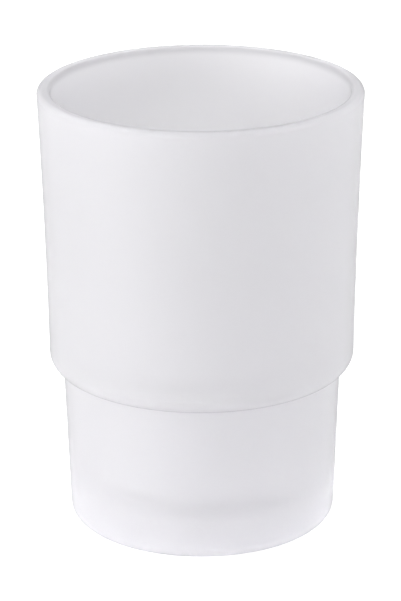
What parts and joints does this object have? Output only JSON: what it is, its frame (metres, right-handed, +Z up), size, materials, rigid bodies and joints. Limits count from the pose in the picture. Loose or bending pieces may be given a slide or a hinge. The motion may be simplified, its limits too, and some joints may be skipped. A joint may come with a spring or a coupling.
{
  "type": "bathroom tumbler",
  "caption": "Round satin-glass tumbler with a wide, slightly flared body over a narrower neck; the rounded shoulder between them rests on a ring holder, and the thick foot stands on a shelf.",
  "frame": {"origin": "middle of the plane that the foot stands on", "axes": "+Z up along the axis of the glass, through its open mouth; X and Y are free, because the glass is round"},
  "size_m": [0.0678, 0.0678, 0.0945],
  "materials": {
    "satin_glass": "satin, acid-etched all over"
  },
  "bodies": {
    "root": {"glass_tumbler": "satin_glass"}
  },
  "joints": []
}
